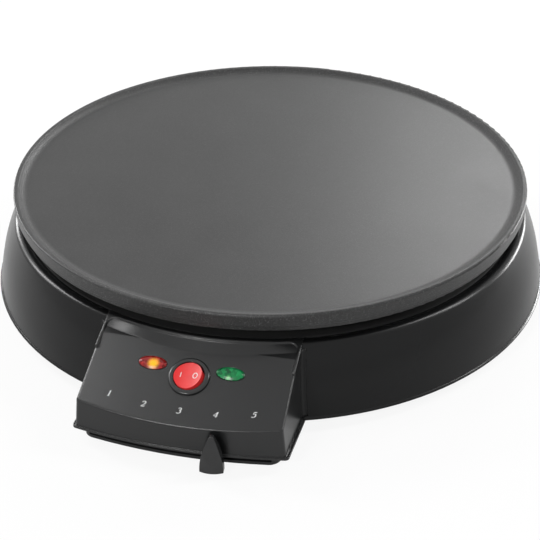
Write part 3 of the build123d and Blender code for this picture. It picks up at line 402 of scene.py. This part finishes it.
dress(zinc, "element_pins", "element_clamps", "thermostat_bracket", "thermostat_terminals")
dress(zinc, "lever_arm", "lever_clip", "fuse_clip")
dress(screw_steel, "clamp_screws", "cover_screws", "thermostat_screws", "thermostat_shaft")
dress(screw_steel, "cord_clamp_screws", "hotplate_screws", "earth_screw", "fuse_screw")
dress(brass, "thermostat_bushing", "switch_terminals", "terminal_screws", "earth_tag")
dress(sheath, "heating_element")
dress(ceramic, "element_seals", "thermostat_body", "thermal_fuse")
dress(black_sheet, "heat_shield")
dress(foot_rubber, "rubber_feet")
dress(brown_sleeve, "live_lead", "switch_lead", "element_lead")
dress(blue_sleeve, "neutral_lead")
print("finishes so far:", len(bpy.data.materials))

# %% [markdown]
# The earth lead's sleeve is green with a yellow stripe winding round it. A Wave texture is already a
# row of stripes, so it needs only a threshold.

# %% Earth lead's striped sleeve
STRIPE_FROM = 0.62  # the wave's height from which the sleeve is yellow
GREEN, YELLOW = (0.02, 0.22, 0.03, 1), (0.75, 0.6, 0.03, 1)
striped = Finish("earth_insulation")
waves = {"Vector": striped.place, "Scale": 60}
bands = striped.node("TexWave", {"bands_direction": "DIAGONAL"}, waves, output="Fac")
striped.shade(Base_Color=striped.between(bands > STRIPE_FROM, GREEN, YELLOW), Roughness=0.42 + bands * 0.05)
dress(striped, "earth_lead")
print("earth sleeve has", len(striped.tree.nodes), "nodes")

# %% [markdown]
# The panel's face slopes up towards the plate at 25.5 degrees. Everything that lies on it, the
# numerals, the switch's marks and the lamps' inner shine, is easier to describe flat: x along the
# panel and y up its slope. The matrix below lays such a flat drawing on the slope, with z as the
# height above it.

# %% The panel's own plane
TILT = radians(25.5)
PANEL_Y, PANEL_Z = -0.1933, 0.0272  # a point on the face
SWITCH_Y = -0.1722


def panel_matrix(x, y):
    """Lays flat things on the panel at plan position (x, y)."""
    origin = Vector((x, y, PANEL_Z + (y - PANEL_Y) * tan(TILT)))
    return Matrix.Translation(origin) @ Matrix.Rotation(TILT, 4, "X")


print("panel height at the switch:", round(panel_matrix(0, SWITCH_Y).translation.z * 1000, 2), "mm")

# %% [markdown]
# The setting numerals are pad-printed in white, in an upright-stressed italic. Type needs a font
# file, so each numeral is drawn as pen strokes instead: a stroke is a smooth line through a few
# points, each with its own width, and the printed shape is the band between its two sides. `band`
# makes that band as a thin closed solid, because ink seen at a low angle still has to cover the
# plastic.


# %% Pen strokes
def smooth(points, steps=7):
    """A smooth line through points given as (x, y, width), by Catmull-Rom interpolation."""
    ends = [points[0], *points, points[-1]]
    line = []
    for a, b, c, d in zip(ends, ends[1:], ends[2:], ends[3:]):
        for step in range(steps):
            t = step / steps
            line.append(tuple(
                0.5 * (
                    2 * q + (r - p) * t + (2 * p - 5 * q + 4 * r - s) * t**2 + (3 * q - p - 3 * r + s) * t**3
                )
                for p, q, r, s in zip(a, b, c, d)
            ))
    return line + [points[-1]]


def band(mesh, points, place, thick, slant):
    """Adds one stroke to a mesh: the band along its points, on the matrix's plane, thick metres high."""
    line = smooth(points)
    rows = []
    for number, (x, y, width) in enumerate(line):
        before, after = line[max(number - 1, 0)], line[min(number + 1, len(line) - 1)]
        along = Vector((after[0] - before[0], after[1] - before[1], 0)).normalized()
        side = Vector((-along.y, along.x, 0)) * width / 2
        row = []
        for height in (0, thick):
            for edge in (side, -side):
                flat = Vector((x, y, 0)) + edge
                row.append(mesh.verts.new(place @ Vector((flat.x + flat.y * slant, flat.y, height))))
        rows.append(row)
    for (a, b, c, d), (e, f, g, h) in zip(rows, rows[1:]):
        for corners in ((a, b, f, e), (c, g, h, d), (a, e, g, c), (b, d, h, f)):
            mesh.faces.new(corners)
    for row in (rows[0], rows[-1]):
        mesh.faces.new((row[0], row[2], row[3], row[1]))


def piece(name, mesh, body, finish):
    """Turns a bmesh into an object that rides on a body."""
    bmesh.ops.recalc_face_normals(mesh, faces=mesh.faces)
    data = bpy.data.meshes.new(name)
    mesh.to_mesh(data)
    mesh.free()
    made = bpy.data.objects.new(name, data)
    bpy.context.scene.collection.objects.link(made)
    data.materials.append(finish.material)
    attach(made, body)


print("a stroke of 3 points becomes", len(smooth([(0, 0, 1), (1, 1, 1), (2, 0, 1)])), "cross-sections")

# %% [markdown]
# Each numeral is a list of strokes in millimetres, about its own centre. Thick where a broad pen
# moves down and thin where it moves across, they read as printed serif figures. The row bows with the
# panel's front edge, so each has its own place.

# %% Numerals 1 to 5
THIN, THICK = 0.32, 0.78
NUMERAL_SCALE = 0.74  # the strokes below are drawn larger than life
NUMERAL_SLANT = 0.2
INK_HEIGHT = 0.00006
STROKES = {
    1: [[(-0.75, 1.55, THIN), (-0.2, 1.85, THIN), (0.1, 2.25, 0.5)],
        [(0.1, 2.3, THICK), (0.1, 0, THICK), (0.1, -2.15, THICK)],
        [(-0.8, -2.2, THIN), (0.1, -2.2, THIN), (1.0, -2.2, THIN)]],
    2: [[(-1.25, 1.2, 0.55), (-1.1, 1.9, 0.4), (-0.1, 2.25, 0.42), (1.05, 1.7, 0.72), (1.05, 0.8, 0.8),
         (0.2, -0.6, 0.5), (-1.35, -2.0, 0.4)],
        [(-1.35, -2.05, 0.6), (0.2, -1.98, 0.66), (1.15, -2.1, 0.5), (1.4, -1.4, THIN)]],
    3: [[(-1.2, 1.45, 0.5), (-0.8, 2.1, 0.4), (0.1, 2.25, 0.45), (0.95, 1.6, 0.74), (0.6, 0.65, 0.6),
         (-0.35, 0.25, 0.36)],
        [(-0.3, 0.3, 0.36), (0.75, 0.05, 0.55), (1.25, -0.85, 0.8), (0.7, -1.95, 0.6), (-0.5, -2.3, 0.45),
         (-1.4, -1.9, 0.62)]],
    4: [[(0.5, 2.35, 0.5), (-0.6, 0.6, 0.4), (-1.6, -0.95, 0.36)],
        [(-1.65, -1.0, 0.42), (0, -1.0, 0.42), (1.5, -1.0, 0.42)],
        [(0.55, 2.35, THICK), (0.55, 0, THICK), (0.55, -2.25, THICK)]],
    5: [[(1.3, 2.2, 0.5), (0.3, 2.05, 0.6), (-0.7, 2.1, 0.45)],
        [(-0.75, 2.15, 0.36), (-0.95, 1.2, 0.34), (-1.1, 0.4, 0.34)],
        [(-1.1, 0.4, 0.36), (0, 0.75, 0.5), (1.1, 0.1, 0.76), (1.1, -1.2, 0.78), (0.2, -2.2, 0.5),
         (-1.3, -2.1, 0.6)]],
}
ROW = {1: (-40.65, -187.4), 2: (-20.3, -190.4), 3: (0, -191.2), 4: (20.3, -190.4), 5: (40.65, -187.4)}

ink = Finish("printed_ink")
ink_mottle = ink.noise(scale=2400)
ink.shade(Base_Color=ink.between(ink_mottle, grey(0.62), grey(0.8)), Roughness=0.45 + ink_mottle * 0.1)
for number, strokes in STROKES.items():
    x, y = (v / 1000 for v in ROW[number])
    drawn = bmesh.new()
    for points in strokes:
        metres = [tuple(v * NUMERAL_SCALE / 1000 for v in point) for point in points]
        band(drawn, metres, panel_matrix(x, y), INK_HEIGHT, NUMERAL_SLANT)
    piece(f"numeral_{number}", drawn, "root", ink)

# %% [markdown]
# Where the control housing's cheeks meet the round base, the mouldings run into one another with a
# small hollow curve. Each is a thin strip up the corner: at every height its section is an arc that
# leaves the cheek's flat side and lands on the base's skirt, with a flat back that lies inside the
# corner.

# %% Hollow corners beside the control housing
HOUSING_FOOT = 0.008
CHEEK_HALF = 0.0596  # half the housing's width at its foot
CHEEK_DRAFT = tan(radians(4.9))  # how fast that narrows with height
SKIRT = (  # radius and height
    (0.1663, 0.0092), (0.1660, 0.012), (0.1648, 0.020), (0.1627, 0.030), (0.1595, 0.040), (0.1559, 0.0478),
)
CORNER_ROUND = 0.0026
CORNER_FOOT, CORNER_TOP, CORNER_STEPS = 0.0098, 0.0476, 24
SKIN = 0.00002  # how far the strip's two edges stand off the mouldings
HOLLOW = Vector((0.0001, -0.0001))  # from the corner to the point that pulls the arc inward
BEHIND = Vector((-0.0006, 0.0008))  # from the corner to the strip's back


def skirt_radius(z):
    """The base's radius at a height, between the points of its profile."""
    for (r0, z0), (r1, z1) in zip(SKIRT, SKIRT[1:]):
        if z <= z1:
            return r0 + (r1 - r0) * (z - z0) / (z1 - z0)
    return SKIRT[-1][0]


def corner_section(side, z, steps=6):
    """An arc in the corner between cheek and skirt at height z, then the point behind it."""
    half = CHEEK_HALF - (z - HOUSING_FOOT) * CHEEK_DRAFT
    radius = skirt_radius(z)
    corner = Vector((half, -sqrt(radius**2 - half**2)))
    on_cheek = corner + Vector((SKIN, -CORNER_ROUND))
    far = half + CORNER_ROUND
    on_skirt = Vector((far, -sqrt(radius**2 - far**2) - SKIN))
    arc = []
    for step in range(steps + 1):
        t = step / steps
        arc.append(on_cheek * (1 - t) ** 2 + (corner + HOLLOW) * 2 * t * (1 - t) + on_skirt * t**2)
    return [Vector((side * p.x, p.y, z)) for p in (*arc, corner + BEHIND)]


for side, name in ((-1, "corner_left"), (1, "corner_right")):
    drawn = bmesh.new()
    heights = [CORNER_FOOT + (CORNER_TOP - CORNER_FOOT) * k / CORNER_STEPS for k in range(CORNER_STEPS + 1)]
    rings = [[drawn.verts.new(p) for p in corner_section(side, z)] for z in heights]
    for lower, upper in zip(rings, rings[1:]):
        for i in range(len(lower)):
            j = (i + 1) % len(lower)
            drawn.faces.new((lower[i], lower[j], upper[j], upper[i])).smooth = True
    drawn.faces.new(rings[0])
    drawn.faces.new(rings[-1])
    piece(name, drawn, "root", base_plastic)

# %% [markdown]
# The rocker is clear red plastic without a lamp inside; a little emission of its own red is painted
# glow. Its on mark is a bar and its off mark a ring, printed white. The rocker's top is dished, a
# cylinder of 30 mm radius, so the marks are drawn flat, then each point is laid on that curve.

# %% Rocker and its marks
ROCKER_REST = radians(8)
PIVOT_DROP = 0.0006
DISH_ROUND, DISH_DEPTH = 0.030, 0.001  # the dished top's radius and depth
DISH_RIM = 0.0033  # height of the dish's rim over the pivot
MARK_LIFT = 0.00005
MARK_X = 0.0042

rocker_red = Finish("rocker_red")
red_mottle = rocker_red.noise(scale=260)
rocker_red.shade(
    Base_Color=rocker_red.between(red_mottle, (0.5, 0.014, 0.016, 1), (0.62, 0.022, 0.022, 1)),
    Roughness=0.34 + red_mottle * 0.08,
    # Painted glow: a little emission of the rocker's own red, though it has no lamp.
    Emission_Color=(0.7, 0.03, 0.03, 1),
    Emission_Strength=0.22,
    Specular_IOR_Level=0.35,
)
dress(rocker_red, "switch_rocker")
to_pivot = Matrix.Translation((0, 0, -PIVOT_DROP)) @ Matrix.Rotation(-ROCKER_REST, 4, "Y")
pivot = panel_matrix(0, SWITCH_Y) @ to_pivot


def on_dish(x, y):
    """Lays a flat point on the rocker's dished top."""
    return pivot @ Vector((x, y, DISH_RIM + DISH_ROUND - DISH_DEPTH - sqrt(DISH_ROUND**2 - x**2) + MARK_LIFT))


def oval(x, half_width, half_length, count=32):
    turns = [2 * pi * i / count for i in range(count)]
    return [(x + half_width * cos(turn), half_length * sin(turn)) for turn in turns]


def mark(name, outer, inner):
    """A printed band between two ovals."""
    drawn = bmesh.new()
    rim, core = ([drawn.verts.new(on_dish(x, y)) for x, y in outline] for outline in (outer, inner))
    for i in range(len(rim)):
        j = (i + 1) % len(rim)
        drawn.faces.new((rim[i], rim[j], core[j], core[i]))
    piece(name, drawn, "rocker", ink)


mark("rocker_off_ring", oval(MARK_X, 0.0015, 0.0018), oval(MARK_X, 0.00105, 0.00135))
mark("rocker_on_bar", oval(-MARK_X, 0.0003, 0.0017), oval(-MARK_X, 0.00003, 0.0012))
print("rocker pivot", tuple(round(v, 4) for v in pivot.translation))

# %% [markdown]
# The two indicator lamps are clear coloured lenses with moulded facets behind their faces. The red
# one is lit: its bulb shows as a hot yellow spot low in the middle, fading through orange to deep
# red. The green one is unlit; its faint glow and pale spot are a painted glint. On both, the facets'
# bright and dark colours are painted light and shade. A Voronoi texture's flat cells give the facets,
# and the distance from a point gives the spot, both worked out as signals in the lens's own space.

# %% Indicator lenses
LENS_X, LENS_Y = 0.022, -0.1672


def lens_finish(name, painted_dark_facet, painted_bright_facet, bulb_glow_and_painted_glint, strength, spot, reach):
    """A faceted lens with painted light and shade on its facets, glowing within reach of the spot: the bulb's
    glow when lit, a painted glint when unlit.
    """
    made = Finish(name)
    facet_cells_and_painted_light = made.facets(620)
    gap = made.node("VectorMath", {"operation": "DISTANCE"}, {0: made.place, 1: spot}, output="Value")
    near = made.node("MapRange", {"interpolation_type": "SMOOTHSTEP"}, {
        "Value": gap, "From Min": reach, "From Max": reach * 0.2, "To Min": 0.0, "To Max": 1.0,
    })
    # Facet colours are painted light and shade; the emission is the bulb's glow on a lit lamp and a painted
    # glint on an unlit one.
    made.shade(
        Base_Color=made.between(facet_cells_and_painted_light, painted_dark_facet, painted_bright_facet),
        Roughness=0.22 + facet_cells_and_painted_light * 0.1,
        Emission_Color=made.between(near, dimmed(painted_bright_facet, 0.1), bulb_glow_and_painted_glint),
        Emission_Strength=strength,
        Specular_IOR_Level=0.3,
        Normal=made.grain(facet_cells_and_painted_light, strength=0.25, depth=0.0003),
    )
    return made


red_at = panel_matrix(-LENS_X, LENS_Y).translation
green_at = panel_matrix(LENS_X, LENS_Y).translation
red_lens = lens_finish(
    "red_lens", painted_dark_facet=(0.08, 0.002, 0.002, 1), painted_bright_facet=(0.38, 0.015, 0.015, 1), bulb_glow_and_painted_glint=(1.0, 0.58, 0.005, 1),
    strength=0.95, spot=red_at + Vector((0.0006, -0.0012, 0.0006)), reach=0.0042,
)
# The green lamp is unlit: its emission and pale spot are a painted glint.
green_lens = lens_finish(
    "green_lens", painted_dark_facet=(0.001, 0.05, 0.018, 1), painted_bright_facet=(0.003, 0.26, 0.07, 1), bulb_glow_and_painted_glint=(0.35, 0.8, 0.3, 1),
    strength=0.4, spot=green_at + Vector((-0.0005, -0.0028, -0.0006)), reach=0.0018,
)
dress(red_lens, "power_lamp_lens")
dress(green_lens, "ready_lamp_lens")
print("lamps at", [tuple(round(v, 4) for v in at) for at in (red_at, green_at)])

# %% [markdown]
# Behind each lens stands a small glass bulb. It is hidden while the cover is on. Clear glass with a
# faint haze takes two lines, so it gets that all the same.

# %% Lamp bulbs
bulb = Finish("bulb_glass")
haze = bulb.noise(scale=300)
bulb.shade(
    Base_Color=bulb.between(haze, grey(0.8, 0.05), grey(0.9, 0.05)),
    Roughness=0.08 + haze * 0.05,
    Transmission_Weight=0.7,
)
dress(bulb, "lamp_bulbs")
print("bulbs have", len(bulb.tree.nodes), "nodes")

# %% [markdown]
# The stage is a wide white table in a white surround. Light Path tells which kind of ray asks for the
# colour, so the camera can see plain white at strength 1 without more light falling on the object.
# The table hands nine tenths of what the camera sees to that plain white and keeps one tenth of its
# own shading, so that a soft shadow still grounds the object. Reflections in the plastic see less of
# it, or the black would turn grey.

# %% Stage
TABLE_HALF = 6.0
SEEN_PLAIN, REFLECTED_PLAIN = 0.9, 0.4  # share of plain white that the camera and the reflections see


def rays(graph):
    """Signals that are 1 for camera rays, for glossy ones and for those through glass."""
    return [graph.node("LightPath", output=f"Is {kind} Ray") for kind in ("Camera", "Glossy", "Transmission")]


floor_mesh = bmesh.new()
bmesh.ops.create_grid(floor_mesh, x_segments=8, y_segments=8, size=TABLE_HALF)
floor_data = bpy.data.meshes.new("table")
floor_mesh.to_mesh(floor_data)
floor_mesh.free()
table = bpy.data.objects.new("table", floor_data)
bpy.context.scene.collection.objects.link(table)

white = Finish("table_white")
camera_ray, glossy_ray, through_ray = rays(white)
plain = camera_ray * SEEN_PLAIN + (glossy_ray + through_ray) * REFLECTED_PLAIN
shine = white.node("Emission", {}, {"Color": grey(1.0), "Strength": 1.0})
white.shade(Base_Color=grey(0.8), Roughness=0.9, Specular_IOR_Level=0.1)
surface = white.node("MixShader", {}, {0: plain, 1: Signal(white, white.shader.outputs[0]), 2: shine})
white.feed(white.tree.nodes["Material Output"], {"Surface": surface})
floor_data.materials.append(white.material)
print("table:", TABLE_HALF * 2, "m wide")

# %% [markdown]
# The world works the same way. The camera and the reflections see it at strength 1, and for the light
# that it throws on the object it is dimmed to a quarter, as fill between the lamps.

# %% World
FILL = 0.25

world = bpy.data.worlds.new("surround")
bpy.context.scene.world = world
world.use_nodes = True
surround = Graph(world.node_tree)
camera_ray, glossy_ray, through_ray = rays(surround)
mirrored = surround.node("Math", {"operation": "MAXIMUM"}, {0: glossy_ray, 1: through_ray})
bright = surround.node("Math", {"operation": "MAXIMUM"}, {0: camera_ray, 1: mirrored})
surround.feed(surround.tree.nodes["Background"], {"Strength": FILL + bright * (1 - FILL), "Color": grey(1.0)})
print("world fills at", FILL)

# %% [markdown]
# Seven small soft lamps shape the black plastic. A black object shows its form by reflection alone,
# so each lamp is placed for the streak that it draws, at the mirror direction of the surface that
# should carry it: two low ones behind, for the bright bands down the base's two sides, two high ones
# for the thin light along its shoulder, and one each for the plate, the panel and the front. Together
# they light the white table in front of the object about as bright as paper, and a little brighter
# behind it.


# %% Lamps
def soft_lamp(name, place, target, width, height, power):
    """A rectangular lamp aimed at a target. Lengths in metres, power in watts."""
    light = bpy.data.lights.new(name, "AREA")
    light.shape = "RECTANGLE"
    light.size, light.size_y = width, height
    light.energy = power
    made = bpy.data.objects.new(name, light)
    aim = (Vector(target) - Vector(place)).to_track_quat("-Z", "Y")
    made.matrix_world = Matrix.Translation(place) @ aim.to_matrix().to_4x4()
    bpy.context.scene.collection.objects.link(made)


MIDDLE, PANEL, FRONT = (0, 0, 0.05), (0, -0.17, 0.03), (0, -0.15, 0.03)
soft_lamp("plate_glow", (0.06, 0.92, 0.66), MIDDLE, 0.3, 0.3, power=3)
soft_lamp("right_streak", (0.745, 0.80, 0.20), MIDDLE, 0.5, 0.2, power=10)
soft_lamp("right_crest", (0.77, 0.235, 0.80), MIDDLE, 0.14, 0.55, power=6)
soft_lamp("left_streak", (-0.90, 0.58, 0.25), MIDDLE, 0.25, 0.25, power=3.5)
soft_lamp("left_crest", (-0.89, 0.19, 0.66), MIDDLE, 0.2, 0.5, power=6.5)
soft_lamp("panel_glow", (-0.51, -0.12, 1.0), PANEL, 0.2, 0.2, power=1.2)
soft_lamp("front_edge", (-0.35, -1.3, 0.75), FRONT, 0.25, 0.2, power=8)

# %% [markdown]
